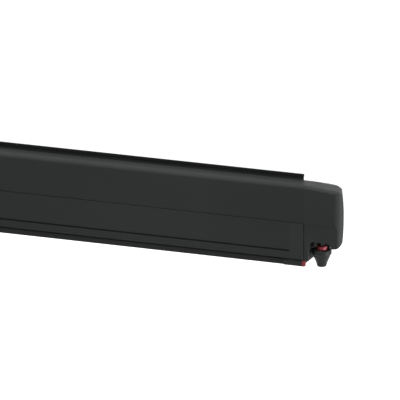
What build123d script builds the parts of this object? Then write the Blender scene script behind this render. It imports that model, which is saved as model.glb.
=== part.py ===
from build123d import *
from math import atan, cos, degrees, pi, radians, sin, tan
import os

# A cassette awning for a caravan or camper, closed, in millimetres and degrees.
# The origin lies on the wall face, in the middle of the length. X runs to the winch end,
# the front faces -Y and Z is up.

# Case, its section seen from the winch end
profile_length = 2560
profile_wall = 2.0
cover_face = 109
case_top = 66
case_bottom = 60
top_corner_r = 6
rail_setback = 34
rear_slope = 18
wall_corner_r = 5
floor_depth = 76
seam_height = 3.5
seam_gap = 0.8
rail_height = 6
rail_ledge = 10
rail_end_gap = 12.5
gasket_width = 5
gasket_height = 5
gasket_lap = 1.0
gasket_lip = 0.5
seal_width = 6
seal_height = 5.2
seal_gap = 0.3
seal_end_gap = 12
port_r = 4
port_bore_r = 2.05
port_inset = 8.2
port_web = 2.4
port_heights = (30, -53.2)
cover_port_inset = 8
cover_port_drop = 8

# Case end caps
cap_reach = 69.5
cap_wall = 2.5
cap_corner_r = 12
cap_taper = 21
cap_barrel_r = 360
cap_barrel_height = 14
cap_fall = 5.1
cap_fall_start = 4
cap_top_r = 15
cap_top_lean = 1.5
cap_low_r = 22
cap_low_edge_r = 7
cap_bottom = 37
cap_flange = 8
cap_back_gap = 1.5
cap_step_height = 4.5
cap_step_depth = 1.3
cap_step_slope = 7
recess_width = 39
recess_top = 27
recess_corner_r = 8
recess_depth = 42
recess_skirt = 11
shaft_hole_gap = 0.6

# End plates and their screws
plate_thickness = 5
plate_gap = 0.3
screw_r = 2.0
screw_head_r = 3.6
screw_head = 3.0
screw_length = 22
screw_gap = 0.05

# Roller and the canopy wound on it
roller_y = 54
roller_z = 22
roller_end_gap = 18
roller_r = 25
roller_wall = 1.5
roll_r = 30.2
canopy_margin = 42
canopy_thickness = 0.8
canopy_gap = 0.3
plug_depth = 22
plug_flange = 3
roller_shaft_r = 8
bush_wall = 2.5
running_gap = 0.2

# Winch: a two-start worm on an upright shaft and a worm wheel on the roller shaft
worm_starts = 2
wheel_teeth = 20
gear_module = 2.4
worm_r = 10
worm_turns = 2
wheel_width = 10
tooth_addendum = 2.2
tooth_dedendum = 2.8
tooth_backlash = 0.7
tooth_tip_share = 0.26
tooth_root_share = 0.70
winch_x = 24.5
worm_shaft_r = 4
worm_shaft_top = 47
gearbox_wall = 3
gearbox_gap = 0.8
gearbox_low = 8
gearbox_high = 51
gear_cover_wall = 2

# Crank socket under the end cap, with its red ring
socket_top = 42.5
socket_rim = 8.5
socket_rim_r = 16
socket_shoulder_r = 14.8
socket_waist_r = 9.5
socket_tip_r = 6.6
socket_bottom = 71.5
socket_bore_r = 6
socket_bore_depth = 18
socket_edge_r = 1.2
socket_waist_drop = 13
socket_shoulder_lean_share = 0.3
socket_tip_lean_share = 0.2
ring_r = 8.2
ring_height = 6.4
ring_edge_r = 4.1
socket_grip = 7.5

# Folding arms, drawn in a plane that falls to the front
arm_fall = 5
shoulder_inset = 85
shoulder_y = 26
shoulder_z = 32
elbow_x = 120
arm_pitch = 32
upper_width = 26
upper_height = 36
fore_width = 24
fore_height = 32
arm_wall = 2.2
tube_setback = 24
plug_length = 18
plug_gap = 0.1
shoulder_tongue = 24
elbow_tongue = 20
cheek_gap = 0.4
cheek = 6
knuckle_r = 13
cheek_r = 14
pin_r = 5
pin_gap = 0.15
loose_pin_gap = 0.35
pin_head = 1.0
neck_width = 20
neck_end_share = 0.125
bracket_width = 34
bore_reach = 60
bracket_front = 14.5
wrist_bracket_front = 13.6
spring_start = 24
spring_turns = 20
spring_pitch = 14
spring_r = 8
spring_wire_r = 1.5
spring_plug = 12
spring_plug_r = 10.2
spring_rod_r = 3
cable_r = 1.5

# Lead bar
bar_face = 110
bar_wall = 2.2
bar_back = 78
bar_rear_wall = 2.0
bar_lip = 57.5
bar_rear_lip = 60
bar_cap_length = 22.6
bar_end_gap = 0.9
top_lip = 12
groove_height = 44.4
groove_width = 3
groove_depth = 3.2
groove_wall = 1.5
bay_roof = 47.4
keder_y = 100
keder_r = 3.2
keder_gap = 1.0
keder_wall = 2.0
keder_slot = 2.4
keder_web = 2.4
web_bite = 0.4
bar_cap_wall = 3

# Support legs, stowed in the bay of the lead bar
leg_inset = 18
leg_roof_gap = 2.6
leg_width = 22
leg_height = 20
leg_wall = 2.2
leg_groove_low = 1.2
leg_groove_high = 1.6
leg_groove_depth = 1.2
leg_setback = 13
leg_middle_gap = 249
leg_knuckle_width = 18
leg_pin_r = 3
leg_pin_cover = 1.5
leg_slide_gap = 0.3
inner_wall = 1.5
inner_rest_gap = 86
inner_out = 84
bracket_wall = 2.1
bracket_reach = 16
bracket_end = 15.2
tip_thickness = 6.7
tip_low_r = 4
tip_edge_r = 1.2
tip_gap = 0.4
bay_gap = 0.1
collar_length = 36
collar_lap = 20
collar_wall = 1.2
lever_length = 42
lever_width = 14
lever_thickness = 4
lever_pin_r = 1.5
lever_ear = 3
lever_gap = 0.4
foot_pivot = 12
foot_tongue = 8
foot_ear = 3.5
foot_r = 8
foot_length = 24
foot_pad = 4
foot_gap = 0.4

overrun = 5
half = profile_length / 2
roller_half_length = half - roller_end_gap
canopy_width = 2 * (roller_half_length - canopy_margin)
shoulder_x = half - shoulder_inset
leg_pivot_x = half - leg_inset
leg_z = bay_roof + leg_roof_gap + leg_height / 2
roller_centre = (-roller_y, roller_z)
wheel_r = gear_module * wheel_teeth / 2
winch_y = roller_y + wheel_r + worm_r
winch_mid = half + winch_x
seam_y = cover_face - profile_wall


def block(x0, x1, y0, y1, z0, z1):
    """A box between two corners."""
    middle = Pos((x0 + x1) / 2, (y0 + y1) / 2, (z0 + z1) / 2)
    return middle * Box(abs(x1 - x0), abs(y1 - y0), abs(z1 - z0))


def rod_x(x0, x1, y, z, radius):
    """A round bar along X."""
    return Pos((x0 + x1) / 2, y, z) * Rot(0, 90, 0) * Cylinder(radius, abs(x1 - x0))


def rod_y(x, y0, y1, z, radius):
    """A round bar along Y."""
    return Pos(x, (y0 + y1) / 2, z) * Rot(90, 0, 0) * Cylinder(radius, abs(y1 - y0))


def rod_z(x, y, z0, z1, radius):
    """A round bar along Z."""
    return Pos(x, y, (z0 + z1) / 2) * Cylinder(radius, abs(z1 - z0))


def outline(corners):
    """A closed face through (u, v, corner radius) points, in the axes of its plane."""
    spots = [Vector(u, v) for u, v, r in corners]
    arrivals, arcs, departures = [], [], []
    for i, (u, v, r) in enumerate(corners):
        spot = spots[i]
        back = (spots[i - 1] - spot).normalized()
        ahead = (spots[(i + 1) % len(spots)] - spot).normalized()
        if not r:
            arrivals.append(spot)
            departures.append(spot)
            arcs.append(None)
            continue
        turn = radians(back.get_angle(ahead)) / 2
        centre = spot + (back + ahead).normalized() * (r / sin(turn))
        arrivals.append(spot + back * (r / tan(turn)))
        departures.append(spot + ahead * (r / tan(turn)))
        arcs.append(centre + (spot - centre).normalized() * r)
    edges = []
    for i in range(len(corners)):
        if arcs[i]:
            edges.append(ThreePointArc(arrivals[i], arcs[i], departures[i]))
        ahead = (i + 1) % len(corners)
        if (departures[i] - arrivals[ahead]).length > 0:
            edges.append(Line(departures[i], arrivals[ahead]))
    return make_face(Curve() + edges)


def along_x(corners, x0, x1):
    """A (y, z) outline drawn out from x0 to x1."""
    return extrude(Plane.YZ.offset(x0) * outline(corners), x1 - x0)


def along_y(corners, y0, y1):
    """An (x, z) outline drawn out from the back y1 to the front y0."""
    return extrude(Plane.XZ.offset(-y1) * outline(corners), y1 - y0)


def along_z(corners, z0, z1):
    """An (x, y) outline drawn out from z0 to z1."""
    return extrude(Plane.XY.offset(z0) * outline(corners), z1 - z0)


def mirrored(shape):
    """The same piece at the other end of the awning."""
    return mirror(shape, about=Plane.YZ)


def both_ends(shape):
    """Two equal pieces, one at each end, as one group of solids."""
    return Compound(children=list(shape.solids()) + list(mirrored(shape).solids()))


# The case
rail_y = cover_face - rail_setback
rail_half = half - rail_end_gap
slope = tan(radians(rear_slope))
wall_top = case_top - rail_y * slope


def case_outline(inset, back):
    """The outer section of the case, drawn in by an inset. back is the depth of its rear face."""
    drop = inset / cos(radians(rear_slope))
    return [
        (-cover_face + inset, -case_bottom + inset, 0),
        (-cover_face + inset, case_top - inset, top_corner_r - inset),
        (-rail_y - inset * tan(radians(rear_slope / 2)), case_top - inset, 0),
        (-back, case_top - (rail_y - back) * slope - drop, 0),
        (-back, -case_bottom + inset, 0),
    ]


def back_profile():
    """Rear wall, rear slope, rail, ledge and floor in one extrusion."""
    w = profile_wall
    drop = w / cos(radians(rear_slope))
    skin = along_x([
        (0, -case_bottom, 0),
        (0, wall_top, wall_corner_r),
        (-rail_y, case_top, 0),
        (-rail_y, case_top - w, 0),
        (-w, wall_top + w * slope - drop, wall_corner_r - w),
        (-w, -case_bottom + w, 0),
        (-floor_depth, -case_bottom + w, 0),
        (-floor_depth, -case_bottom, 0),
    ], -half, half)
    rail = block(-half, half, -rail_y, -rail_y + w, case_top - 2 * w, case_top - w)
    rail += block(-rail_half, rail_half, -rail_y, -rail_y + w, case_top - w, case_top + rail_height)
    ledge = block(-half, half, -rail_y - rail_ledge, -rail_y + w, case_top - 2 * w, case_top - w)
    shape = skin + rail + ledge
    for height in port_heights:
        shape += rod_x(-half, half, -port_inset, height, port_r)
        shape += block(-half, half, -port_inset, -w, height - port_web / 2, height + port_web / 2)
    for height in port_heights:
        shape -= rod_x(-half, half, -port_inset, height, port_bore_r)
    return shape


def cover_port():
    """Place of the screw port in the front corner of the cover."""
    return -cover_face + cover_port_inset, case_top - cover_port_drop


def front_cover():
    """Flat top, rounded front corner and front face, with the seat of the mouth seal."""
    w = profile_wall
    skin = along_x([
        (-rail_y, case_top, 0),
        (-cover_face, case_top, top_corner_r),
        (-cover_face, seam_height, 0),
        (-cover_face + w, seam_height, 0),
        (-cover_face + w, case_top - w, top_corner_r - w),
        (-rail_y, case_top - w, 0),
    ], -half, half)
    seat_z = seam_height - seal_gap + seal_height
    seat = block(-half, half, -seam_y, -seam_y + seal_width + w, seat_z, seat_z + w)
    y, z = cover_port()
    web = block(-half, half, -cover_face + w / 2, y, z - port_web / 2, z + port_web / 2)
    shape = skin + seat + web + rod_x(-half, half, y, z, port_r)
    return shape - rod_x(-half, half, y, z, port_bore_r)


def top_rail_gasket():
    """The rubber strip that is pushed over the rail, with a lip to the front."""
    top = case_top + rail_height + gasket_height - gasket_lap
    low = case_top + rail_height - gasket_lap
    middle = -rail_y + profile_wall / 2
    front, rear = middle - gasket_width / 2, middle + gasket_width / 2
    shape = along_x([
        (front - gasket_lip, low + gasket_lip, 0),
        (front - gasket_lip, top, gasket_lip),
        (rear, top, gasket_width / 2),
        (rear, low, gasket_lip / 2),
        (front, low, 0),
    ], -rail_half, rail_half)
    slot = block(-half, half, -rail_y, -rail_y + profile_wall, low - overrun, case_top + rail_height)
    return shape - slot


def mouth_seal():
    """The rubber strip between the cover and the lead bar."""
    low = seam_height - seal_gap
    return along_x([
        (-seam_y, low, seal_gap),
        (-seam_y, low + seal_height, 0),
        (-seam_y + seal_width, low + seal_height, 0),
        (-seam_y + seal_width, low, seal_height / 2),
    ], -half + seal_end_gap, half - seal_end_gap)


# The side of the right end cap leans back by the taper; its roof falls towards the end
cap_lean = radians(cap_taper)
cap_far = half + cap_reach
cap_fall_slope = tan(radians(cap_fall))
side_outward = Vector(cos(cap_lean), sin(cap_lean), 0)
side_frontward = Vector(sin(cap_lean), -cos(cap_lean), 0)


def beside(y, corners):
    """A face across the side of the end cap at a depth y, from (outward, height, corner radius) points."""
    spot = (cap_far - (cover_face - y) * tan(cap_lean), -y, 0)
    return Plane(origin=spot, x_dir=side_outward, z_dir=side_frontward) * outline(corners)


def drawn(face, direction):
    """A face drawn out both ways along a direction, past the whole depth of the case."""
    reach = 2 * cover_face
    return extrude(Pos(*(direction.normalized() * -reach)) * face, 2 * reach, dir=direction)


def cap_shoulder(inset, roof_slope):
    """The side of the end cap and its rounded upper edge, where the roof falls to the rear by a slope."""
    deep = 2 * cap_reach
    edge_x = cap_far - (cover_face - rail_y) * tan(cap_lean)
    top = case_top - (edge_x - half - cap_fall_start) * cap_fall_slope - inset
    rise = roof_slope * sin(cap_lean) + cap_fall_slope * cos(cap_lean) + tan(radians(cap_top_lean))
    face = beside(rail_y, [
        (-inset, top, cap_top_r - inset),
        (-deep, top + deep * rise, 0),
        (-deep, -2 * case_bottom, 0),
        (-inset, -2 * case_bottom, 0),
    ])
    climb = roof_slope * cos(cap_lean) - cap_fall_slope * sin(cap_lean)
    return drawn(face, side_frontward + Vector(0, 0, climb))


def cap_roof(inset):
    """The section of the case, sheared so that its top falls towards the end of the cap."""
    outer = case_outline(inset, cap_back_gap + inset)
    section = [(y, z if z > 0 else -2 * case_bottom, r) for y, z, r in outer]
    lift = cap_fall_start * cap_fall_slope
    face = Pos(0, 0, lift) * (Plane.YZ.offset(half) * outline(section))
    fall = radians(cap_fall)
    return extrude(face, cap_reach / cos(fall), dir=(cos(fall), 0, -sin(fall)))


def cap_block(inset):
    """The space of the right end cap, drawn in by an inset on every side but the inner one."""
    front, low = cover_face - inset, cap_bottom - inset
    section = along_x(case_outline(inset, cap_back_gap + inset), half, cap_far)
    corner = cap_far - inset * (1 / cos(cap_lean) + tan(cap_lean))
    plan = along_z([
        (half, -front, 0),
        (corner, -front, cap_corner_r - inset),
        (corner - front * tan(cap_lean), 0, 0),
        (half, 0, 0),
    ], -2 * case_bottom, 2 * case_top)
    foot = drawn(beside(cover_face, [
        (-inset, 2 * case_top, 0),
        (-2 * cap_reach, 2 * case_top, 0),
        (-2 * cap_reach, -low, 0),
        (-inset, -low, cap_low_r - inset),
    ]), side_frontward)
    lower_edge = along_x([
        (-front, 2 * case_top, 0),
        (-front, -low, cap_low_edge_r - inset),
        (0, -low, 0),
        (0, 2 * case_top, 0),
    ], half, cap_far)
    axis_spot = Vector(cap_far, -cover_face, cap_barrel_height) - side_outward * cap_barrel_r
    barrel = Plane(origin=axis_spot, z_dir=side_frontward) * Cylinder(cap_barrel_r - inset, 4 * cover_face)
    hood = section & cap_roof(inset) & plan
    hood = hood & cap_shoulder(inset, 0) & cap_shoulder(inset, slope) & foot & lower_edge & barrel
    return hood + (section & block(half, half + cap_flange - inset, -front, 0, -case_bottom + inset, 0))


def cap_recess(inset, low):
    """The space in front of and around the crank socket, with its far wall along the side of the cap."""
    left, right = half + cap_flange - inset, half + cap_flange + recess_width + inset
    roof = -recess_top + inset
    middle = half + cap_flange + recess_width / 2
    straight = along_y([
        (left, -low, 0),
        (left, roof, recess_corner_r),
        (cap_far, roof, 0),
        (cap_far, -low, 0),
    ], -cover_face - overrun, -cover_face + recess_depth + inset)
    shift = overrun * tan(cap_lean)
    leaned = extrude(Plane.XZ.offset(cover_face + overrun) * outline([
        (middle + shift, -low, 0),
        (middle + shift, roof, 0),
        (right + shift, roof, recess_corner_r),
        (right + shift, -low, 0),
    ]), (recess_depth + inset + overrun) / cos(cap_lean), dir=-side_frontward)
    nearer = block(left, middle, -cover_face - overrun, -cover_face + recess_depth + inset, -low, roof)
    return straight & (nearer + leaned)


def end_cap(winch):
    """A moulded end cap. The one at the winch end has the cut-out over the crank socket."""
    outer = cap_block(0)
    shell = outer - cap_block(cap_wall)
    if winch:
        shell += outer & cap_recess(cap_wall, cap_bottom)
        shell -= cap_recess(0, case_bottom + overrun)
        rear = -cover_face + recess_depth
        shell += block(half + cap_flange, half + cap_flange + recess_width - recess_depth * tan(cap_lean),
                       rear, rear + cap_wall, -cap_bottom - recess_skirt, -recess_top)
        shell -= rod_z(winch_mid, -winch_y, -case_bottom, 0, worm_shaft_r + shaft_hole_gap)
    belt = along_x([
        (-cover_face - overrun, cap_step_height, 0),
        (-cover_face, cap_step_height, 0),
        (-cover_face + cap_step_depth, cap_step_height - cap_step_slope, 0),
        (-cover_face + cap_step_depth, -case_bottom - overrun, 0),
        (-cover_face - overrun, -case_bottom - overrun, 0),
    ], half, half + 2 * cap_reach)
    return shell - belt


def port_places():
    """Places of the screws that hold an end plate to the profiles."""
    return [(-port_inset, height) for height in port_heights] + [cover_port()]


def end_plate():
    """The plate that closes the profiles and carries the roller."""
    inset = cap_wall + plate_gap
    shape = along_x(case_outline(inset, cap_back_gap + inset), half, half + plate_thickness)
    shape -= rod_x(half - overrun, half + plate_thickness + overrun, *roller_centre,
                   roller_shaft_r + running_gap + bush_wall)
    for y, z in port_places():
        shape -= rod_x(half - overrun, half + plate_thickness + overrun, y, z, screw_r + screw_gap)
        shape -= rod_x(half + plate_thickness - screw_head, half + plate_thickness + overrun, y, z,
                       screw_head_r + screw_gap)
    return shape


def case_screws():
    """The six equal screws of the end plates."""
    outer = half + plate_thickness
    screws = []
    for y, z in port_places():
        shank = rod_x(outer - screw_length, outer - screw_head, y, z, screw_r)
        head = rod_x(outer - screw_head, outer, y, z, screw_head_r)
        socket = rod_x(outer - screw_head / 2, outer + overrun, y, z, screw_r)
        screws.append(shank + head - socket)
    return both_ends(Compound(children=screws))


# The winch
gear_pitch = pi * gear_module
worm_length = worm_turns * worm_starts * gear_pitch
worm_root_r = worm_r - tooth_dedendum
worm_tip_r = worm_r + tooth_addendum
lead_angle = atan(worm_starts * gear_module / (2 * worm_r))


def worm_thread():
    """One start of the worm, swept along its helix and centred on the worm."""
    path = Helix(pitch=gear_pitch * worm_starts, height=worm_length, radius=worm_root_r,
                 center=(0, 0, -worm_length / 2))
    root = gear_pitch * tooth_root_share / 2 - tooth_backlash / 2
    tip = gear_pitch * tooth_tip_share / 2
    inner = -tooth_backlash
    outer = tooth_addendum + tooth_dedendum
    profile = Polygon((inner, -root), (inner, root), (outer, tip), (outer, -tip), align=None)
    return sweep(Plane(origin=path @ 0, x_dir=(1, 0, 0), z_dir=path % 0) * profile, path=path, is_frenet=True)


def worm_shaft():
    """The upright shaft with the worm cut on it."""
    worm = Cylinder(worm_root_r, worm_length + gear_pitch)
    for start in range(worm_starts):
        worm += Rot(0, 0, 90 + 360 * start / worm_starts) * worm_thread()
    worm &= Cylinder(worm_tip_r, worm_length)
    place = Pos(winch_mid, -winch_y, roller_z)
    return place * worm + rod_z(winch_mid, -winch_y, -socket_top - socket_grip, worm_shaft_top, worm_shaft_r)


def worm_wheel():
    """The wheel on the roller shaft, with teeth that lean by the lead angle of the worm."""
    tip_r = wheel_r + tooth_addendum
    root_r = wheel_r - tooth_dedendum
    step = 360 / wheel_teeth
    tip = gear_pitch * tooth_tip_share / 2 / tip_r
    root = (gear_pitch * tooth_root_share - tooth_backlash) / 2 / root_r
    spots = []
    for tooth in range(wheel_teeth):
        middle = radians(90 + step * (tooth + 0.5))
        for radius, lean in ((root_r, -root), (tip_r, -tip), (tip_r, tip), (root_r, root)):
            spots.append((radius * cos(middle + lean), radius * sin(middle + lean)))
    twist = degrees(wheel_width * tan(lead_angle) / wheel_r)
    face = make_face(Polyline(*spots, close=True))
    body = Solid.extrude_linear_with_rotation(face.faces()[0], center=(0, 0, 0),
                                              normal=(0, 0, wheel_width), angle=twist)
    body = Rot(0, 0, -twist / 2) * Pos(0, 0, -wheel_width / 2) * body
    body -= Cylinder(roller_shaft_r, wheel_width + overrun)
    turned = Plane(origin=(0, 0, 0), x_dir=(0, 0, 1), z_dir=(1, 0, 0))
    return Pos(winch_mid, *roller_centre) * turned.location * body


def gearbox_halves():
    """The gearbox, split across the axis of the worm into a housing and a cover."""
    inner = half + plate_thickness
    wheel_room = wheel_r + tooth_addendum + gearbox_gap
    worm_room = worm_tip_r + gearbox_gap
    drum = rod_x(inner, winch_mid + wheel_width / 2 + gearbox_gap + gear_cover_wall, *roller_centre,
                 wheel_room + gearbox_wall)
    tower = block(inner, winch_mid + worm_room + gearbox_wall,
                  -winch_y - worm_room - gearbox_wall, -winch_y + worm_room, -gearbox_low, gearbox_high)
    solid = drum + tower
    solid -= rod_x(winch_mid - wheel_width / 2 - gearbox_gap, winch_mid + wheel_width / 2 + gearbox_gap,
                   *roller_centre, wheel_room)
    worm_half = worm_length / 2 + gearbox_gap
    solid -= rod_z(winch_mid, -winch_y, roller_z - worm_half, roller_z + worm_half, worm_room)
    solid -= rod_z(winch_mid, -winch_y, -gearbox_low - overrun, gearbox_high + overrun,
                   worm_shaft_r + running_gap + bush_wall)
    solid -= rod_x(inner - overrun, winch_mid, *roller_centre, roller_shaft_r + shaft_hole_gap)
    far = winch_mid + worm_room + gearbox_wall
    span = (-cover_face, 0, -case_bottom, case_top)
    return solid & block(inner, winch_mid, *span), solid & block(winch_mid, far + overrun, *span)


def bushes():
    """Plain bushes: one in each end plate for the roller, two in the gearbox for the worm shaft."""
    outer_r = roller_shaft_r + running_gap + bush_wall
    ring = rod_x(half, half + plate_thickness, *roller_centre, outer_r)
    ring -= rod_x(half, half + plate_thickness, *roller_centre, roller_shaft_r + running_gap)
    worm_half = worm_length / 2 + gearbox_gap
    group = list(ring.solids()) + list(mirrored(ring).solids())
    for z0, z1 in ((-gearbox_low, roller_z - worm_half), (roller_z + worm_half, gearbox_high)):
        sleeve = rod_z(winch_mid, -winch_y, z0, z1, worm_shaft_r + running_gap + bush_wall)
        sleeve -= rod_z(winch_mid, -winch_y, z0, z1, worm_shaft_r + running_gap)
        group += list(sleeve.solids())
    return Compound(children=group)


def crank_socket():
    """The bell that the crank handle is pushed into from below."""
    rim_low = -socket_top - socket_rim
    waist_z = rim_low - socket_waist_drop
    tip = (socket_tip_r + socket_edge_r, -socket_bottom + socket_edge_r)
    leans = ((-socket_shoulder_lean_share, -1), (-socket_tip_lean_share, -1))
    edges = [
        Line((0, -socket_top), (socket_rim_r - socket_edge_r, -socket_top)),
        Line((socket_rim_r - socket_edge_r, -socket_top), (socket_rim_r, -socket_top - socket_edge_r)),
        Line((socket_rim_r, -socket_top - socket_edge_r), (socket_rim_r, rim_low + socket_edge_r)),
        Line((socket_rim_r, rim_low + socket_edge_r), (socket_shoulder_r, rim_low)),
        Spline((socket_shoulder_r, rim_low), (socket_waist_r, waist_z), tip, tangents=leans),
        Line(tip, (socket_tip_r, -socket_bottom)),
        Line((socket_tip_r, -socket_bottom), (0, -socket_bottom)),
        Line((0, -socket_bottom), (0, -socket_top)),
    ]
    bell = revolve(Plane.XZ * make_face(Curve() + edges), Axis.Z)
    bell -= rod_z(0, 0, -socket_bottom - overrun, -socket_bottom + socket_bore_depth, socket_bore_r)
    bell -= rod_z(0, 0, -socket_top - socket_grip, 0, worm_shaft_r)
    return Pos(winch_mid, -winch_y, 0) * bell


def crank_ring():
    """The domed ring on top of the crank socket."""
    profile = Plane.XZ * outline([
        (worm_shaft_r, -socket_top, 0),
        (ring_r, -socket_top, 0),
        (ring_r, -socket_top + ring_height, ring_edge_r),
        (worm_shaft_r, -socket_top + ring_height, 0),
    ])
    return Pos(winch_mid, -winch_y, 0) * revolve(profile, Axis.Z)


# The roller
def roller_tube():
    """The steel tube that the canopy winds on."""
    tube = rod_x(-roller_half_length, roller_half_length, *roller_centre, roller_r)
    return tube - rod_x(-roller_half_length, roller_half_length, *roller_centre, roller_r - roller_wall)


def roller_plug(shaft_end):
    """The plug in an end of the tube, with its shaft."""
    body = rod_x(roller_half_length - plug_depth, roller_half_length, *roller_centre, roller_r - roller_wall)
    flange = rod_x(roller_half_length, roller_half_length + plug_flange, *roller_centre, roller_r)
    return body + flange + rod_x(roller_half_length, shaft_end, *roller_centre, roller_shaft_r)


def canopy_roll():
    """The wound canopy."""
    roll = rod_x(-canopy_width / 2, canopy_width / 2, *roller_centre, roll_r)
    return roll - rod_x(-canopy_width / 2, canopy_width / 2, *roller_centre, roller_r)


# The line on which the canopy leaves the roller, and the keder at its end
fall = radians(arm_fall)
canopy_drop = roll_r + canopy_gap + canopy_thickness / 2
keder_run = (keder_y - roller_y + canopy_drop * sin(fall)) / cos(fall)
keder_z = roller_z - canopy_drop * cos(fall) - keder_run * sin(fall)


def canopy_strip():
    """The canopy between the roller and the keder."""
    near = keder_run - keder_r - canopy_gap
    strip = block(-canopy_width / 2, canopy_width / 2, -near, 0,
                  -canopy_drop - canopy_thickness / 2, -canopy_drop + canopy_thickness / 2)
    return Pos(0, *roller_centre) * Rot(arm_fall, 0, 0) * strip


# The arms, in their own plane: the shoulder is at y = 0 and the front is at negative y
arm_place = Pos(0, -shoulder_y, -shoulder_z) * Rot(arm_fall, 0, 0)
shoulder = (shoulder_x, 0)
elbow = (elbow_x, -arm_pitch / 2)
wrist = (shoulder_x, -arm_pitch)


def tube(x0, x1, y, width, height, wall):
    """A rectangular tube along X, in the plane of the arms."""
    outer = block(x0, x1, y - width / 2, y + width / 2, -height / 2, height / 2)
    inner_width, inner_height = width / 2 - wall, height / 2 - wall
    return outer - block(x0, x1, y - inner_width, y + inner_width, -inner_height, inner_height)


def plug(x0, x1, y, width, height, wall):
    """The block that fills an end of such a tube."""
    side, rise = width / 2 - wall - plug_gap, height / 2 - wall - plug_gap
    return block(x0, x1, y - side, y + side, -rise, rise)


def link(centre, radius, x, y, width, z0, z1):
    """A flat lug: a disc round a pivot that runs out into a straight edge at x."""
    disc = Pos(*centre) * Circle(radius)
    reach = abs(x - centre[0]) * neck_end_share
    end = Pos(x + (reach if x < centre[0] else -reach) / 2, y) * Rectangle(reach, width)
    flat = make_hull(disc.edges() + end.edges())
    return extrude(Plane.XY.offset(z0) * flat, z1 - z0)


def upright_bore(centre, radius):
    """A bore through everything along the axis of a pivot."""
    return rod_z(*centre, -bore_reach, bore_reach, radius)


def shoulder_knuckle():
    """The lug of the upper arm at the case."""
    edge = shoulder_x - tube_setback
    rise = shoulder_tongue / 2
    shape = link(shoulder, knuckle_r, edge, 0, neck_width, -rise, rise)
    shape += plug(edge - plug_length, edge, 0, upper_width, upper_height, arm_wall)
    return shape - upright_bore(shoulder, pin_r + pin_gap)


def upper_arm_tube():
    """The tube between shoulder and elbow."""
    return tube(elbow_x + tube_setback, shoulder_x - tube_setback, 0, upper_width, upper_height, arm_wall)


def upper_elbow_fork():
    """The fork of the upper arm round the elbow."""
    edge = elbow_x + tube_setback
    low = elbow_tongue / 2 + cheek_gap
    shape = plug(edge, edge + plug_length, 0, upper_width, upper_height, arm_wall)
    web = edge - cheek
    shape += block(web, edge, -upper_width / 2, upper_width / 2, -upper_height / 2, upper_height / 2)
    for z0, z1 in ((low, low + cheek), (-low - cheek, -low)):
        shape += link(elbow, cheek_r, web, 0, upper_width, z0, z1)
    return shape - upright_bore(elbow, pin_r)


def elbow_pin():
    """The pin held in the elbow fork."""
    reach = elbow_tongue / 2 + cheek_gap + cheek
    pin = rod_z(*elbow, -reach, reach, pin_r)
    for z0, z1 in ((reach, reach + pin_head), (-reach - pin_head, -reach)):
        pin += rod_z(*elbow, z0, z1, pin_r + pin_head)
    return pin


def arm_spring():
    """The tension spring in the upper arm, with a screwed plug in each end and a rod to the shoulder."""
    start = shoulder_x - tube_setback - plug_length - spring_start
    length = spring_turns * spring_pitch
    path = Helix(pitch=spring_pitch, height=length, radius=spring_r)
    coil = sweep(Plane(origin=path @ 0, z_dir=path % 0) * Circle(spring_wire_r), path=path, is_frenet=True)
    coil = Pos(start - length, 0, 0) * Rot(0, 90, 0) * coil
    shape = coil
    for x in (start, start - length):
        shape += rod_x(x - spring_plug / 2, x + spring_plug / 2, 0, 0, spring_plug_r)
    return shape + rod_x(start, start + spring_start, 0, 0, spring_rod_r)


def arm_cable():
    """The cable from the spring to the elbow."""
    start = shoulder_x - tube_setback - plug_length - spring_start
    far = start - spring_turns * spring_pitch - spring_plug / 2
    return rod_x(elbow_x + tube_setback + plug_length, far, 0, 0, cable_r)


def forearm_elbow_knuckle():
    """The lug of the forearm inside the elbow fork."""
    edge = elbow_x + tube_setback
    rise = elbow_tongue / 2
    shape = link(elbow, knuckle_r, edge, -arm_pitch, neck_width, -rise, rise)
    shape += plug(edge, edge + plug_length, -arm_pitch, fore_width, fore_height, arm_wall)
    return shape - upright_bore(elbow, pin_r + pin_gap)


def forearm_tube():
    """The tube between elbow and wrist."""
    return tube(elbow_x + tube_setback, shoulder_x - tube_setback, -arm_pitch,
                fore_width, fore_height, arm_wall)


def wrist_knuckle(gap):
    """The lug of the forearm at the lead bar."""
    edge = shoulder_x - tube_setback
    rise = elbow_tongue / 2
    shape = link(wrist, knuckle_r, edge, -arm_pitch, neck_width, -rise, rise)
    shape += plug(edge - plug_length, edge, -arm_pitch, fore_width, fore_height, arm_wall)
    return shape - upright_bore(wrist, pin_r + gap)


def cheeks(centre, edge_y, tongue):
    """Two lugs above and below a tongue, run out to a web at edge_y."""
    low = tongue / 2 + cheek_gap
    group = None
    for z0, z1 in ((low, low + cheek), (-low - cheek, -low)):
        lug = rod_z(*centre, z0, z1, cheek_r)
        lug += block(centre[0] - cheek_r, centre[0] + cheek_r, centre[1], edge_y, z0, z1)
        group = lug if group is None else group + lug
    return group


def shoulder_bracket():
    """The fork on the rear wall that carries an arm."""
    rise = shoulder_tongue / 2 + cheek_gap + cheek
    web = block(shoulder_x - bracket_width / 2, shoulder_x + bracket_width / 2,
                bracket_front, shoulder_y + bracket_front, -rise, rise)
    shape = cheeks(shoulder, bracket_front + cheek / 2, shoulder_tongue) + web
    shape = arm_place * (shape - upright_bore(shoulder, pin_r))
    return shape & block(0, half, -cover_face, -profile_wall, -case_bottom, case_top)


def shoulder_pin():
    """The pin of a shoulder."""
    reach = shoulder_tongue / 2 + cheek_gap + cheek
    pin = rod_z(*shoulder, -reach, reach, pin_r)
    pin += rod_z(*shoulder, reach, reach + pin_head, pin_r + pin_head)
    return arm_place * pin


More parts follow.
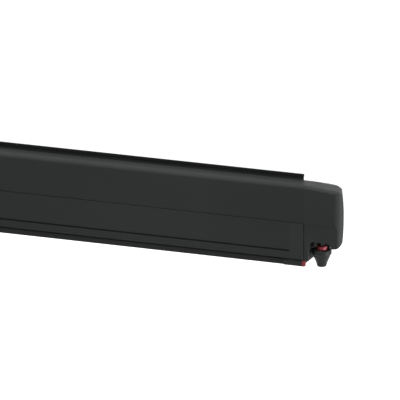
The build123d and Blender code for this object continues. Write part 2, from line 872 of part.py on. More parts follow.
def wrist_bracket():
    """The fork on the back of the lead bar that holds a forearm."""
    web_y = -arm_pitch - wrist_bracket_front
    rise = elbow_tongue / 2 + cheek_gap + cheek
    web = block(shoulder_x - bracket_width / 2, shoulder_x + bracket_width / 2,
                web_y, web_y - cheek_r, -rise, rise)
    shape = cheeks(wrist, web_y - cheek / 2, elbow_tongue) + web
    shape = arm_place * (shape - upright_bore(wrist, pin_r))
    return shape & block(0, half, -bar_back, 0, -case_bottom, case_top)


def wrist_pin():
    """The pin of a wrist."""
    reach = elbow_tongue / 2 + cheek_gap + cheek
    pin = rod_z(*wrist, -reach, reach, pin_r)
    pin += rod_z(*wrist, reach, reach + pin_head, pin_r + pin_head)
    return arm_place * pin


# The lead bar
bar_top = seam_height - seam_gap
bar_half = half - bar_end_gap
bar_profile_half = bar_half - bar_cap_length
bar_inner = bar_face - bar_wall
web_top = keder_z - keder_r - keder_gap - keder_wall + web_bite


def lead_bar_profile():
    """Front wall with its groove, keder channel, box and the open bay for the legs."""
    x0, x1 = -bar_profile_half, bar_profile_half
    channel_r = keder_r + keder_gap
    groove_low, groove_top = -groove_height - groove_width / 2, -groove_height + groove_width / 2
    shape = block(x0, x1, -bar_face, -bar_inner, -bar_lip, bar_top)
    shape += block(x0, x1, -bar_face, -bar_face + groove_depth + groove_wall,
                   -bay_roof, groove_top + groove_wall)
    shape += block(x0, x1, -bar_inner, -bar_face + top_lip, bar_top - bar_wall, bar_top)
    shape += rod_x(x0, x1, -keder_y, keder_z, channel_r + keder_wall)
    shape += block(x0, x1, -bar_inner, -keder_y - channel_r, keder_z - keder_web / 2, keder_z + keder_web / 2)
    shape += block(x0, x1, -bar_inner, -bar_back, web_top - bar_wall, web_top)
    shape += block(x0, x1, -bar_back - bar_rear_wall, -bar_back, -bar_rear_lip, web_top)
    shape += block(x0, x1, -bar_inner, -bar_back, -bay_roof, -bay_roof + bar_wall)
    shape -= block(x0, x1, -bar_face - overrun, -bar_face + groove_depth, groove_low, groove_top)
    shape -= rod_x(x0, x1, -keder_y, keder_z, channel_r)
    mouth = block(x0, x1, 0, channel_r + 2 * keder_wall, -keder_slot / 2, keder_slot / 2)
    return shape - Pos(0, -keder_y, keder_z) * Rot(arm_fall, 0, 0) * mouth


def lead_bar_end_cap():
    """The moulded end of the lead bar, which closes the box and lines the bay."""
    channel_r = keder_r + keder_gap + keder_wall
    step_y = -keder_y + channel_r
    body = along_x([
        (-bar_face, -bar_lip, 0),
        (-bar_face, bar_top, 0),
        (-bar_face + top_lip, bar_top, 0),
        (step_y, keder_z + channel_r, 0),
        (step_y, web_top, 0),
        (-bar_back, web_top, 0),
        (-bar_back, -bar_rear_lip, 0),
        (-bar_back - bar_rear_wall, -bar_rear_lip, 0),
        (-bar_back - bar_rear_wall, -bay_roof, 0),
        (-bar_face + bar_cap_wall, -bay_roof, 0),
        (-bar_face + bar_cap_wall, -bar_lip, 0),
    ], bar_profile_half, bar_half)
    body -= rod_y(leg_pivot_x, -bar_face + bar_cap_wall / 2, -bar_back, -leg_z, leg_pin_r)
    tenon = block(bar_profile_half - plug_length, bar_profile_half,
                  -bar_face + groove_depth + groove_wall + plug_gap, -bar_back - bar_rear_wall - plug_gap,
                  -bay_roof + bar_wall + plug_gap, web_top - bar_wall - plug_gap)
    return body + tenon


def canopy_front_keder():
    """The bead of the canopy in the keder channel."""
    return rod_x(-canopy_width / 2, canopy_width / 2, -keder_y, keder_z, keder_r)


# The legs
bay_front = -bar_face + bar_cap_wall
bay_rear = -bar_back - bar_rear_wall
leg_y = (bay_front + bay_rear) / 2
tube_end = leg_pivot_x - leg_setback
tube_far = leg_middle_gap
inner_far = tube_far - inner_out
inner_end = tube_end - plug_length - inner_rest_gap
inner_width = leg_width - 2 * leg_wall - 2 * leg_slide_gap
inner_height = leg_height - 2 * leg_wall - 2 * leg_slide_gap
leg_place = Pos(0, leg_y, -leg_z)
foot_x = inner_far - foot_pivot
leg_low = -leg_height / 2 - leg_slide_gap - collar_wall
lever_x = tube_far - collar_length / 2 + collar_lap / 2
lever_z = leg_low - lever_thickness / 2


def leg_bracket():
    """The channel in the end of the bay that holds the pin of a leg."""
    front, rear = bay_front + bay_gap, bay_rear - bay_gap
    roof = -bay_roof - bay_gap
    low = -leg_z - leg_height / 2
    x0, x1 = leg_pivot_x - bracket_reach, leg_pivot_x + bracket_end
    shape = block(x0, x1, front, rear, low, roof)
    inner_x = x1 - bracket_wall
    shape -= block(x0 - overrun, inner_x, front + bracket_wall, rear - bracket_wall,
                   low - overrun, roof - bracket_wall)
    shape -= block(x0 - overrun, inner_x, front - overrun, front + leg_groove_depth,
                   -leg_z - leg_groove_low, -leg_z + leg_groove_high)
    return shape - rod_y(leg_pivot_x, front + leg_pin_cover, rear - leg_pin_cover, -leg_z, leg_pin_r)


def leg_bracket_tip():
    """The coloured tip on the end of the bracket, below the case."""
    x0 = leg_pivot_x + bracket_end
    front, far = bay_front + bay_gap, x0 + tip_thickness
    low = -leg_z - leg_height / 2
    face = along_y([
        (x0, low, 0),
        (x0, -case_bottom - tip_gap, 0),
        (far, -case_bottom - tip_gap, tip_edge_r),
        (far, low, tip_low_r),
    ], front, bay_rear)
    return face & along_z([
        (x0, front, 0),
        (far, front, tip_edge_r),
        (x0, front + tip_thickness / tan(radians(cap_taper)), 0),
    ], low, 0)


def leg_pin():
    """The pin of a leg, across the bay."""
    inset = bay_gap + leg_pin_cover
    return rod_y(leg_pivot_x, bay_front + inset, bay_rear - inset, -leg_z, leg_pin_r)


def leg_outer_tube():
    """The fixed tube of a leg, with a groove along its front."""
    shape = tube(tube_far, tube_end, 0, leg_width, leg_height, leg_wall)
    front = -leg_width / 2
    return leg_place * (shape - block(tube_far, tube_end, front - overrun, front + leg_groove_depth,
                                      -leg_groove_low, leg_groove_high))


def leg_hinge_knuckle():
    """The rounded end of a leg."""
    width = leg_knuckle_width / 2
    disc = rod_y(leg_pivot_x, -width, width, 0, leg_height / 2)
    neck = block(tube_end, leg_pivot_x, -width, width, -leg_height / 2, leg_height / 2)
    shape = disc + neck + plug(tube_end - plug_length, tube_end, 0, leg_width, leg_height, leg_wall)
    return leg_place * (shape - rod_y(leg_pivot_x, -leg_width, leg_width, 0, leg_pin_r + pin_gap))


def leg_collar():
    """The moulded collar that guides the inner tube and carries the lock lever."""
    side = leg_width / 2 + collar_wall
    rise = leg_height / 2 + leg_slide_gap + collar_wall
    x1 = tube_far + collar_lap
    x0 = x1 - collar_length
    shape = block(x0, x1, -side, side, -rise, rise)
    ear_y = lever_width / 2 + lever_gap
    for y0, y1 in ((ear_y, ear_y + lever_ear), (-ear_y - lever_ear, -ear_y)):
        ear = rod_y(lever_x, y0, y1, lever_z, lever_thickness / 2 + lever_gap)
        ear += block(lever_x - lever_thickness / 2, lever_x + lever_thickness / 2, y0, y1, lever_z, -rise)
        shape += ear
    shape -= rod_y(lever_x, -side, side, lever_z, lever_pin_r + pin_gap)
    shape -= block(tube_far, x1 + overrun, -leg_width / 2, leg_width / 2, -leg_height / 2, leg_height / 2)
    side, rise = inner_width / 2 + leg_slide_gap, inner_height / 2 + leg_slide_gap
    return leg_place * (shape - block(x0 - overrun, tube_far, -side, side, -rise, rise))


def leg_lock_lever():
    """The cam lever that clamps the inner tube."""
    width = lever_width / 2
    lift = lever_z - lever_gap
    hub = rod_y(lever_x, -width, width, lever_z, lever_thickness / 2 - lever_gap)
    arm = block(lever_x, lever_x + lever_length, -width, width,
                lever_z - lever_thickness / 2, lever_z + lever_thickness / 2 - lever_gap)
    pin_end = width + lever_gap + lever_ear
    pin = rod_y(lever_x, -pin_end, pin_end, lever_z, lever_pin_r)
    finger = rod_y(lever_x + lever_length, -width, width, lift, lever_thickness / 2)
    return leg_place * (hub + arm + pin + finger)


def leg_inner_tube():
    """The sliding tube of a leg, with the lug of the foot in its end."""
    shape = tube(inner_far, inner_end, 0, inner_width, inner_height, inner_wall)
    shape += plug(inner_far, inner_far + plug_length, 0, inner_width, inner_height, inner_wall - plug_gap)
    tongue = foot_tongue / 2
    shape += block(foot_x, inner_far, -tongue, tongue, -foot_r + foot_gap, foot_r - foot_gap)
    shape += rod_y(foot_x, -tongue, tongue, 0, foot_r - foot_gap)
    return leg_place * (shape - rod_y(foot_x, -tongue, tongue, 0, leg_pin_r + pin_gap))


def leg_foot():
    """The hinged foot at the end of a leg."""
    low = foot_tongue / 2 + foot_gap
    far = foot_x - foot_length
    shape = block(far, foot_x - foot_r - foot_gap, -leg_width / 2, leg_width / 2, -leg_height / 2,
                  -leg_height / 2 + foot_pad)
    shape += block(far, foot_x - foot_r - foot_gap, -low - foot_ear, low + foot_ear, -leg_height / 2, foot_r)
    for y0, y1 in ((low, low + foot_ear), (-low - foot_ear, -low)):
        shape += rod_y(foot_x, y0, y1, 0, foot_r)
        shape += block(foot_x - foot_r - 2 * foot_gap, foot_x, y0, y1, -foot_r, foot_r)
    return leg_place * (shape + rod_y(foot_x, -low, low, 0, leg_pin_r))


housing, gear_cover = gearbox_halves()
nodes = {
    "back_profile": back_profile(),
    "front_cover": front_cover(),
    "top_rail_gasket": top_rail_gasket(),
    "mouth_seal": mouth_seal(),
    "end_cap_right": end_cap(True),
    "end_cap_left": mirrored(end_cap(False)),
    "end_plates": both_ends(end_plate()),
    "shoulder_brackets": both_ends(shoulder_bracket()),
    "shoulder_pins": both_ends(shoulder_pin()),
    "gearbox_housing": housing,
    "gearbox_cover": gear_cover,
    "bushes": bushes(),
    "case_screws": case_screws(),
    "worm_shaft": worm_shaft(),
    "crank_socket": crank_socket(),
    "crank_ring": crank_ring(),
    "roller_tube": roller_tube(),
    "roller_plug_right": roller_plug(winch_mid + wheel_width / 2),
    "roller_plug_left": mirrored(roller_plug(half + plate_thickness)),
    "canopy_roll": canopy_roll(),
    "worm_wheel": worm_wheel(),
    "canopy_strip": canopy_strip(),
    "lead_bar_profile": lead_bar_profile(),
    "lead_bar_end_cap_right": lead_bar_end_cap(),
    "lead_bar_end_cap_left": mirrored(lead_bar_end_cap()),
    "wrist_brackets": both_ends(wrist_bracket()),
    "canopy_front_keder": canopy_front_keder(),
    "leg_brackets": both_ends(leg_bracket()),
    "leg_bracket_tips": both_ends(leg_bracket_tip()),
    "lead_bar_pins": both_ends(Compound(children=[wrist_pin(), leg_pin()])),
}
for side, turn in (("right", lambda piece: piece), ("left", mirrored)):
    gap = pin_gap if side == "right" else loose_pin_gap
    arm = {
        "shoulder_knuckle": shoulder_knuckle(),
        "upper_arm_tube": upper_arm_tube(),
        "upper_elbow_fork": upper_elbow_fork(),
        "elbow_pin": elbow_pin(),
        "arm_spring": arm_spring(),
        "arm_cable": arm_cable(),
        "forearm_elbow_knuckle": forearm_elbow_knuckle(),
        "forearm_tube": forearm_tube(),
        "wrist_knuckle": wrist_knuckle(gap),
    }
    for name, piece in arm.items():
        nodes[f"{name}_{side}"] = turn(arm_place * piece)
    leg = {
        "leg_outer_tube": leg_outer_tube(),
        "leg_hinge_knuckle": leg_hinge_knuckle(),
        "leg_collar": leg_collar(),
        "leg_inner_tube": leg_inner_tube(),
        "leg_lock_lever": leg_lock_lever(),
        "leg_foot": leg_foot(),
    }
    for name, piece in leg.items():
        nodes[f"{name}_{side}"] = turn(piece)

os.makedirs("parts", exist_ok=True)
for name, shape in nodes.items():
    export_step(shape, f"parts/{name}.step")
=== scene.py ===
import bpy
from math import ceil, cos, pi, radians, sin
from mathutils import Matrix, Vector


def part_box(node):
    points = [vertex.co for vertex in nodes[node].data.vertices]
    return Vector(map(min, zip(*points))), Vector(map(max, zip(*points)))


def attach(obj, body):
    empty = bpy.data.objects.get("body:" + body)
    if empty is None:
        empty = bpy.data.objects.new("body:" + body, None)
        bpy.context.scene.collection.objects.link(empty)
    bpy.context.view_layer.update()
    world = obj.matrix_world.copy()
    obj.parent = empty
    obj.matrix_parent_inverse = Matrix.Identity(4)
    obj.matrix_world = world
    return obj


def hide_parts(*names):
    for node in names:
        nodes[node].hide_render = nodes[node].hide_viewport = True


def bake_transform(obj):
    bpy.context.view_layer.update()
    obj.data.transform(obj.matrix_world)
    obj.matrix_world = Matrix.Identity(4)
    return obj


# A cassette awning, closed, seen at its winch end. Metres and degrees, in the frame of the model:
# X runs to the winch end, the front faces -Y, Z is up and the wall face is at Y = 0.
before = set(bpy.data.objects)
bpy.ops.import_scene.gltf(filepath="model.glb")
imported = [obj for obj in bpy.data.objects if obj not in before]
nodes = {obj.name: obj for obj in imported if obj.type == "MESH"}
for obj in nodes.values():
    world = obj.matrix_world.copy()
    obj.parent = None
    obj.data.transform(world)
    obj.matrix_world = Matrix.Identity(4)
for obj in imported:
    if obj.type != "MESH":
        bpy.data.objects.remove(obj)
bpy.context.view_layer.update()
MM = 0.001


# Colours and material nodes
def paint(code):
    """An sRGB hex colour as a linear colour."""
    linear = []
    for i in (1, 3, 5):
        c = int(code[i:i + 2], 16) / 255
        linear.append(c / 12.92 if c <= 0.04045 else ((c + 0.055) / 1.055) ** 2.4)
    return (*linear, 1)


def per_metre(size_mm):
    """The texture scale whose features are this many millimetres across."""
    return 1000 / size_mm


def add(tree, kind, settings=None, links=None):
    """Adds one shader node and returns it. A setting is an input's value, or else a property."""
    made = tree.nodes.new("ShaderNode" + kind)
    for key, value in (settings or {}).items():
        if isinstance(key, int) or key in made.inputs:
            made.inputs[key].default_value = value
        else:
            setattr(made, key, value)
    for key, socket in (links or {}).items():
        tree.links.new(socket, made.inputs[key])
    return made


def blank(name):
    """A new material without nodes but one, its node tree, and the place on the object as a vector."""
    made = bpy.data.materials.new(name)
    made.use_nodes = True
    made.node_tree.nodes.clear()
    place = add(made.node_tree, "TexCoord").outputs["Object"]
    return made, made.node_tree, place


def close(tree, shader):
    """Joins a shader to the material's output."""
    add(tree, "OutputMaterial", links={"Surface": shader.outputs["BSDF"]})


def stretched(tree, place, shares):
    """The place with each axis shrunk by a share, so that a pattern runs long that way."""
    return add(tree, "Mapping", {"Scale": shares}, {"Vector": place}).outputs["Vector"]


def noise(tree, place, size_mm, detail=2, rough=0.5):
    """Soft noise with patches of this size."""
    return add(tree, "TexNoise", {"Scale": per_metre(size_mm), "Detail": detail, "Roughness": rough},
               {"Vector": place}).outputs["Fac"]


def ramp(tree, value, low, high, at=(0.35, 0.65)):
    """A colour between two, for a value between two stops."""
    made = add(tree, "ValToRGB", links={"Fac": value})
    stops = made.color_ramp.elements
    stops[0].position, stops[1].position = at
    stops[0].color, stops[1].color = low, high
    return made.outputs["Color"]


def spread(tree, value, low, high):
    """A number between two, for a value from 0 to 1."""
    return add(tree, "MapRange", {"To Min": low, "To Max": high}, {"Value": value}).outputs["Result"]


def bump(tree, height, depth_mm, strength=1.0, normal=None):
    """A bumped normal. depth_mm is the depth of the relief."""
    links = {"Height": height}
    if normal:
        links["Normal"] = normal
    return add(tree, "Bump", {"Distance": depth_mm * MM, "Strength": strength}, links).outputs["Normal"]


def powder_coated_aluminium():
    """Extruded aluminium under black polyester powder: satin, with fine orange peel and, under it, the
    die lines of the extrusion, which run along X. The peel is drawn at 4 mm, because 0.4 mm is lost."""
    made, tree, place = blank("powder_coated_aluminium")
    peel = noise(tree, place, 4, 3)
    die_lines = noise(tree, stretched(tree, place, (0.004, 1, 1)), 5, 2)
    clouds = noise(tree, place, 160, 2)
    relief = bump(tree, die_lines, 0.05, 0.5, bump(tree, peel, 0.05, 0.35))
    shader = add(tree, "BsdfPrincipled", {"IOR": 1.5, "Specular IOR Level": 0.12}, {
        "Base Color": ramp(tree, clouds, paint("#363837"), paint("#3a3c3b")),
        "Roughness": spread(tree, peel, 0.5, 0.6),
        "Normal": relief,
    })
    close(tree, shader)
    return made


def moulded_abs():
    """Injection moulded black ABS with a fine spark-eroded grain: duller than the powder coat.
    The grain is drawn at 2.5 mm, because 0.3 mm is lost."""
    made, tree, place = blank("moulded_abs")
    grain = noise(tree, place, 2.5, 4, 0.6)
    clouds = noise(tree, place, 90, 2)
    shader = add(tree, "BsdfPrincipled", {"IOR": 1.53, "Specular IOR Level": 0.12}, {
        "Base Color": ramp(tree, clouds, paint("#363837"), paint("#3a3c3b")),
        "Roughness": spread(tree, grain, 0.46, 0.6),
        "Normal": bump(tree, grain, 0.06, 0.4),
    })
    close(tree, shader)
    return made


def extruded_rubber():
    """EPDM rubber, extruded: near black and dull, with faint lines along X."""
    made, tree, place = blank("extruded_epdm_rubber")
    lines = noise(tree, stretched(tree, place, (0.01, 1, 1)), 1.5, 2)
    shader = add(tree, "BsdfPrincipled", {"IOR": 1.5, "Specular IOR Level": 0.08}, {
        "Base Color": ramp(tree, lines, paint("#202121"), paint("#272828")),
        "Roughness": spread(tree, lines, 0.72, 0.86),
        "Normal": bump(tree, lines, 0.05, 0.4),
    })
    close(tree, shader)
    return made


def red_nylon():
    """Glass filled nylon, moulded in red: half gloss, with faint paler fibre marks."""
    made, tree, place = blank("moulded_red_nylon")
    fibres = noise(tree, place, 1.2, 4, 0.7)
    shader = add(tree, "BsdfPrincipled", {"IOR": 1.53, "Specular IOR Level": 0.4}, {
        "Base Color": ramp(tree, fibres, paint("#8c2d35"), paint("#a23741")),
        "Roughness": spread(tree, fibres, 0.34, 0.46),
        "Normal": bump(tree, fibres, 0.04, 0.3),
    })
    close(tree, shader)
    return made


def black_nylon():
    """Glass filled nylon, moulded in black: a little deeper and smoother than the end caps."""
    made, tree, place = blank("moulded_black_nylon")
    fibres = noise(tree, place, 1.2, 4, 0.7)
    shader = add(tree, "BsdfPrincipled", {"IOR": 1.53, "Specular IOR Level": 0.2}, {
        "Base Color": ramp(tree, fibres, paint("#191b1a"), paint("#1e201f")),
        "Roughness": spread(tree, fibres, 0.36, 0.48),
        "Normal": bump(tree, fibres, 0.04, 0.3),
    })
    close(tree, shader)
    return made


def cast_aluminium():
    """Die cast aluminium, tumbled: dull grey with a fine sandy skin."""
    made, tree, place = blank("die_cast_aluminium")
    skin = noise(tree, place, 1.6, 5, 0.65)
    stains = noise(tree, place, 30, 3)
    shader = add(tree, "BsdfPrincipled", {"Metallic": 1.0}, {
        "Base Color": ramp(tree, stains, paint("#8d8f90"), paint("#a3a5a6")),
        "Roughness": spread(tree, skin, 0.42, 0.62),
        "Normal": bump(tree, skin, 0.08, 0.5),
    })
    close(tree, shader)
    return made


def anodised_aluminium():
    """Natural anodised aluminium tube: bright satin, drawn along X."""
    made, tree, place = blank("natural_anodised_aluminium")
    lines = noise(tree, stretched(tree, place, (0.01, 1, 1)), 0.8, 3)
    shader = add(tree, "BsdfPrincipled", {"Metallic": 1.0}, {
        "Base Color": ramp(tree, lines, paint("#b7b9bb"), paint("#c9cbcc")),
        "Roughness": spread(tree, lines, 0.26, 0.4),
        "Normal": bump(tree, lines, 0.02, 0.4),
    })
    close(tree, shader)
    return made


def galvanised_steel():
    """Hot dip galvanised steel: grey with flat crystals of zinc, 8 mm across."""
    made, tree, place = blank("galvanised_steel")
    crystals = add(tree, "TexVoronoi", {"Scale": per_metre(8)}, {"Vector": place}).outputs["Color"]
    value = add(tree, "RGBToBW", links={"Color": crystals}).outputs["Val"]
    shader = add(tree, "BsdfPrincipled", {"Metallic": 1.0}, {
        "Base Color": ramp(tree, value, paint("#9a9c9e"), paint("#b4b6b7"), (0.2, 0.8)),
        "Roughness": spread(tree, value, 0.34, 0.52),
    })
    close(tree, shader)
    return made


def zinc_plated_steel():
    """Turned steel, zinc plated: bright, with fine tool marks round it."""
    made, tree, place = blank("zinc_plated_steel")
    marks = noise(tree, stretched(tree, place, (1, 1, 6)), 1.2, 3)
    shader = add(tree, "BsdfPrincipled", {"Metallic": 1.0}, {
        "Base Color": ramp(tree, marks, paint("#a4a6a8"), paint("#bcbec0")),
        "Roughness": spread(tree, marks, 0.24, 0.38),
        "Normal": bump(tree, marks, 0.02, 0.4),
    })
    close(tree, shader)
    return made


def blackened_steel():
    """Turned steel, blackened and oiled: near black, with fine tool marks round it."""
    made, tree, place = blank("blackened_steel")
    marks = noise(tree, stretched(tree, place, (1, 1, 6)), 1.2, 3)
    shader = add(tree, "BsdfPrincipled", {"Metallic": 0.6}, {
        "Base Color": ramp(tree, marks, paint("#26282a"), paint("#323436")),
        "Roughness": spread(tree, marks, 0.34, 0.5),
        "Normal": bump(tree, marks, 0.02, 0.4),
    })
    close(tree, shader)
    return made


def black_acetal():
    """Turned black acetal: slippery and half gloss, with rings from the lathe."""
    made, tree, place = blank("black_acetal")
    rings = noise(tree, stretched(tree, place, (6, 1, 1)), 1.5, 2)
    shader = add(tree, "BsdfPrincipled", {"IOR": 1.48, "Specular IOR Level": 0.3}, {
        "Base Color": ramp(tree, rings, paint("#1c1d1e"), paint("#252627")),
        "Roughness": spread(tree, rings, 0.3, 0.42),
        "Normal": bump(tree, rings, 0.02, 0.4),
    })
    close(tree, shader)
    return made


def spring_steel():
    """Drawn and blued spring wire: dark and half gloss."""
    made, tree, place = blank("spring_steel")
    scale = noise(tree, place, 2, 3)
    shader = add(tree, "BsdfPrincipled", {"Metallic": 1.0}, {
        "Base Color": ramp(tree, scale, paint("#4b4d52"), paint("#63666b")),
        "Roughness": spread(tree, scale, 0.3, 0.44),
    })
    close(tree, shader)
    return made


def machined_brass():
    """Machined brass: warm and bright, with the marks of the hob across the teeth."""
    made, tree, place = blank("machined_brass")
    marks = noise(tree, stretched(tree, place, (1, 5, 5)), 1, 3)
    shader = add(tree, "BsdfPrincipled", {"Metallic": 1.0}, {
        "Base Color": ramp(tree, marks, paint("#b08d4c"), paint("#c7a45f")),
        "Roughness": spread(tree, marks, 0.22, 0.36),
        "Normal": bump(tree, marks, 0.02, 0.4),
    })
    close(tree, shader)
    return made


def natural_nylon():
    """Moulded or extruded nylon in its own colour: waxy off-white that lets a little light in."""
    made, tree, place = blank("natural_nylon")
    clouds = noise(tree, place, 12, 3)
    inside = {"Subsurface Weight": 0.15, "Subsurface Scale": 2 * MM}
    shader = add(tree, "BsdfPrincipled", {"IOR": 1.53, **inside}, {
        "Base Color": ramp(tree, clouds, paint("#d3d0c5"), paint("#dedbd1")),
        "Roughness": spread(tree, clouds, 0.36, 0.48),
    })
    close(tree, shader)
    return made


# The drawn width of a thread and the length of a streak in the canopy, in millimetres, and the size of
# the wave texture's band at a scale of 1
THREAD = 1.2
STREAK = 7
WAVE_BAND = 6.3


def canopy_fabric():
    """Coated canopy cloth in mottled grey: a plain weave under vinyl, with slubs of light and dark
    thread that run across it. Threads of 0.5 mm are drawn at THREAD, so that they show."""
    made, tree, place = blank("coated_canopy_cloth")
    slubs = noise(tree, stretched(tree, place, (1, 0.03, 1)), STREAK, 5, 0.6)
    cross = noise(tree, stretched(tree, place, (0.02, 1, 1)), STREAK / 2, 3, 0.6)
    both = add(tree, "Math", {"operation": "MULTIPLY_ADD", 1: 0.7},
               {0: slubs, 2: spread(tree, cross, 0, 0.3)})
    warp, weft = [add(tree, "TexWave", {"wave_type": "BANDS", "bands_direction": way,
                                        "Scale": per_metre(THREAD) / WAVE_BAND},
                      {"Vector": place}).outputs["Fac"] for way in "XY"]
    weave = add(tree, "Math", {"operation": "MULTIPLY"}, {0: warp, 1: weft}).outputs["Value"]
    shader = add(tree, "BsdfPrincipled", {"IOR": 1.5, "Specular IOR Level": 0.3, "Sheen Weight": 0.1}, {
        "Base Color": ramp(tree, both.outputs["Value"], paint("#74797c"), paint("#b4b9bc"), (0.34, 0.66)),
        "Roughness": spread(tree, weave, 0.55, 0.7),
        "Normal": bump(tree, weave, 0.15, 0.5),
    })
    close(tree, shader)
    return made


# The finish of each piece of the frame: the solids keep their shape and get a new material
SIDES = ("right", "left")


def sided(*stems):
    """The names of pieces that are there once at each side."""
    return [f"{stem}_{side}" for stem in stems for side in SIDES]


canopy_cloth = canopy_fabric()
finishes = {
    powder_coated_aluminium(): ["back_profile", "front_cover", "lead_bar_profile", "shoulder_brackets",
                                "wrist_brackets", *sided("upper_arm_tube", "forearm_tube", "leg_outer_tube")],
    moulded_abs(): ["end_cap_right", "end_cap_left", "lead_bar_end_cap_right", "lead_bar_end_cap_left",
                    "leg_brackets", *sided("leg_collar", "leg_hinge_knuckle", "leg_foot")],
    black_nylon(): ["crank_socket"],
    extruded_rubber(): ["top_rail_gasket", "mouth_seal"],
    red_nylon(): ["crank_ring", "leg_bracket_tips", *sided("leg_lock_lever")],
    cast_aluminium(): ["end_plates", "gearbox_housing", "gearbox_cover",
                       *sided("shoulder_knuckle", "upper_elbow_fork"),
                       *sided("forearm_elbow_knuckle", "wrist_knuckle")],
    anodised_aluminium(): sided("leg_inner_tube"),
    galvanised_steel(): ["roller_tube"],
    zinc_plated_steel(): ["shoulder_pins", "case_screws", "lead_bar_pins", *sided("elbow_pin", "arm_cable")],
    blackened_steel(): ["worm_shaft"],
    black_acetal(): ["bushes"],
    spring_steel(): sided("arm_spring"),
    machined_brass(): ["worm_wheel"],
    natural_nylon(): ["roller_plug_right", "roller_plug_left", "canopy_front_keder"],
    canopy_cloth: ["canopy_roll", "canopy_strip"],
}
for finish, names in finishes.items():
    for name in names:
        nodes[name].data.materials.clear()
        nodes[name].data.materials.append(finish)


def piece(name, points, faces, finish, smooth=True):
    """A new mesh object from points and faces."""
    mesh = bpy.data.meshes.new(name)
    mesh.from_pydata(points, [], faces)
    mesh.update()
    for face in mesh.polygons:
        face.use_smooth = smooth
    mesh.materials.append(finish)
    made = bpy.data.objects.new(name, mesh)
    bpy.context.scene.collection.objects.link(made)
    return made


def ruled(rows):
    """Points and faces of a sheet through rows of equally many points."""
    wide = len(rows[0])
    points = [point for row in rows for point in row]
    faces = []
    for i in range(len(rows) - 1):
        for j in range(wide - 1):
            first = i * wide + j
            faces.append((first, first + 1, first + wide + 1, first + wide))
    return points, faces


# The canopy, wound on the roller and led to the lead bar
roll_low, roll_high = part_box("canopy_roll")
tube_low, tube_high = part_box("roller_tube")
keder_low, keder_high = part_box("canopy_front_keder")
roll_y, roll_z = (roll_low.y + roll_high.y) / 2, (roll_low.z + roll_high.z) / 2
roll_r = (roll_high.z - roll_low.z) / 2
tube_r = (tube_high.z - tube_low.z) / 2
keder_y, keder_z = (keder_low.y + keder_high.y) / 2, (keder_low.z + keder_high.z) / 2
keder_r = (keder_high.z - keder_low.z) / 2
cloth_half = (roll_high.x - roll_low.x) / 2

# The slope of the open canopy, the height of one layer on the roll with its air, and the number of
# faces in a turn, along the open canopy and over its width
FALL = radians(5)
LAYER = 0.39 * MM
TURN_STEPS = 40
OPEN_STEPS = 24
ACROSS = 24


def across(y, z):
    """A row of points over the width of the canopy."""
    return [(-cloth_half + 2 * cloth_half * i / ACROSS, y, z) for i in range(ACROSS + 1)]


def wound_canopy():
    """The canopy on the roller, a spiral that starts on the tube and ends at the bottom of the roll."""
    inner = tube_r + LAYER
    turns = (roll_r - inner) / LAYER
    steps = ceil(turns * TURN_STEPS)
    rows = []
    for i in range(steps + 1):
        share = i / steps
        radius = inner + (roll_r - inner) * share
        angle = -pi / 2 - FALL + 2 * pi * turns * (share - 1)
        rows.append(across(roll_y + radius * cos(angle), roll_z + radius * sin(angle)))
    made = piece("canopy_wound", *ruled(rows), canopy_cloth)
    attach(made, "roller")
    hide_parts("canopy_roll")


def open_canopy():
    """The canopy from the roll to the bead in the lead bar, as one flat sheet."""
    along = Vector((0, -cos(FALL), -sin(FALL)))
    start = Vector((0, roll_y + roll_r * sin(FALL), roll_z - roll_r * cos(FALL)))
    end = Vector((0, keder_y, keder_z))
    run = (end - start).dot(along)
    end = start + along * (run - keder_r)
    rows = [across(*(start + (end - start) * i / OPEN_STEPS)[1:]) for i in range(OPEN_STEPS + 1)]
    made = piece("canopy_open", *ruled(rows), canopy_cloth)
    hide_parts("canopy_strip")
    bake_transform(made)


wound_canopy()
open_canopy()

# The camera looks at the winch end from the front, from the right and from above. ANCHOR, the upper
# front edge of the case where it meets the right end cap, is shown at ANCHOR_PIXEL.
AZIMUTH = 20
ELEVATION = 16.5
ROLL = 0.3
DISTANCE = 14.0
PIXELS_PER_METRE = 620
IMAGE = 400
SENSOR_WIDTH = 36
VIEW_END = 200
ANCHOR = Vector((1.280, -0.110, 0.0625))
ANCHOR_PIXEL = (303.6, 188.6)

a, e = radians(AZIMUTH), radians(ELEVATION)
right = Vector((cos(a), sin(a), 0))
up = Vector((-sin(a) * sin(e), cos(a) * sin(e), cos(e)))
back = right.cross(up)
turn = Matrix.Rotation(radians(ROLL), 3, back)
right, up = turn @ right, turn @ up
middle = IMAGE / 2
aim = (ANCHOR - right * (ANCHOR_PIXEL[0] - middle) / PIXELS_PER_METRE
       + up * (ANCHOR_PIXEL[1] - middle) / PIXELS_PER_METRE)
lens_data = bpy.data.cameras.new("camera")
lens_data.sensor_width = SENSOR_WIDTH
lens_data.lens = PIXELS_PER_METRE * SENSOR_WIDTH * DISTANCE / IMAGE
lens_data.clip_end = VIEW_END
camera = bpy.data.objects.new("camera", lens_data)
bpy.context.scene.collection.objects.link(camera)
camera.matrix_world = Matrix((
    (right.x, up.x, back.x, aim.x + back.x * DISTANCE),
    (right.y, up.y, back.y, aim.y + back.y * DISTANCE),
    (right.z, up.z, back.z, aim.z + back.z * DISTANCE),
    (0, 0, 0, 1)))
bpy.context.scene.camera = camera

# The studio: a floor just below the feet of the opened legs, a plain sky and soft lamps. Floor and sky
# show as white, but light the object less than white would.
FLOOR_Z = -2.35
FLOOR_HALF = 60
FLOOR_GLOW = 1.0
SKY = 0.06


def seen_directly(tree):
    """1 for rays that show the background, straight, mirrored or through glass, and 0 for others."""
    rays = add(tree, "LightPath")
    seen = rays.outputs["Is Camera Ray"]
    for kind in ("Is Glossy Ray", "Is Transmission Ray"):
        seen = add(tree, "Math", {"operation": "MAXIMUM"}, {0: seen, 1: rays.outputs[kind]}).outputs["Value"]
    return seen


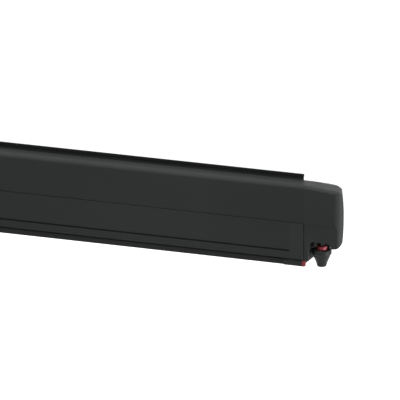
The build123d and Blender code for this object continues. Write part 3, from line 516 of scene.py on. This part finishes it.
world = bpy.data.worlds.new("studio")
bpy.context.scene.world = world
world.use_nodes = True
world.node_tree.nodes.clear()
sky = add(world.node_tree, "Background", {"Color": (1, 1, 1, 1)},
          {"Strength": spread(world.node_tree, seen_directly(world.node_tree), SKY, 1.0)})
add(world.node_tree, "OutputWorld", links={"Surface": sky.outputs["Background"]})


def pale_floor():
    """Matt grey board, so that little light comes up from it. Where it shows directly it glows as well,
    so that it is white there, and it keeps the object's shadow."""
    made, tree, place = blank("matt_grey_board")
    dust = noise(tree, place, 400, 2)
    shader = add(tree, "BsdfPrincipled", {"Roughness": 0.9, "Specular IOR Level": 0.1,
                                          "Emission Color": (1, 1, 1, 1)},
                 {"Base Color": ramp(tree, dust, paint("#9a9a9a"), paint("#9e9e9e")),
                  "Emission Strength": spread(tree, seen_directly(tree), 0, FLOOR_GLOW)})
    close(tree, shader)
    return made


floor = piece("floor", [(-FLOOR_HALF, -FLOOR_HALF, FLOOR_Z), (FLOOR_HALF, -FLOOR_HALF, FLOOR_Z),
                        (FLOOR_HALF, FLOOR_HALF, FLOOR_Z), (-FLOOR_HALF, FLOOR_HALF, FLOOR_Z)],
              [(0, 1, 2, 3)], pale_floor(), smooth=False)


def softbox(name, place, aim_at, size, power):
    """A square soft lamp: its place, what it points at and its width in metres, its power in watts."""
    data = bpy.data.lights.new(name, "AREA")
    data.size = size
    data.energy = power
    lamp = bpy.data.objects.new(name, data)
    bpy.context.scene.collection.objects.link(lamp)
    lamp.location = place
    lamp.rotation_mode = "QUATERNION"
    lamp.rotation_quaternion = (Vector(aim_at) - Vector(place)).to_track_quat("-Z", "Y")


softbox("top_lamp", (0.9, -1.5, 6.0), (0.9, 0, 0), size=4.0, power=262)
softbox("front_lamp", (0.5, -7.0, 6.0), (0.9, 0, 0), size=3.0, power=172)
softbox("side_lamp", (8.5, -0.6, 0.2), (1.3, 0, 0), size=2.5, power=540)
softbox("back_lamp", (-3.0, 7.0, -0.3), (0.0, 0, 0), size=3.5, power=170)

bpy.context.scene.view_settings.view_transform = "Standard"
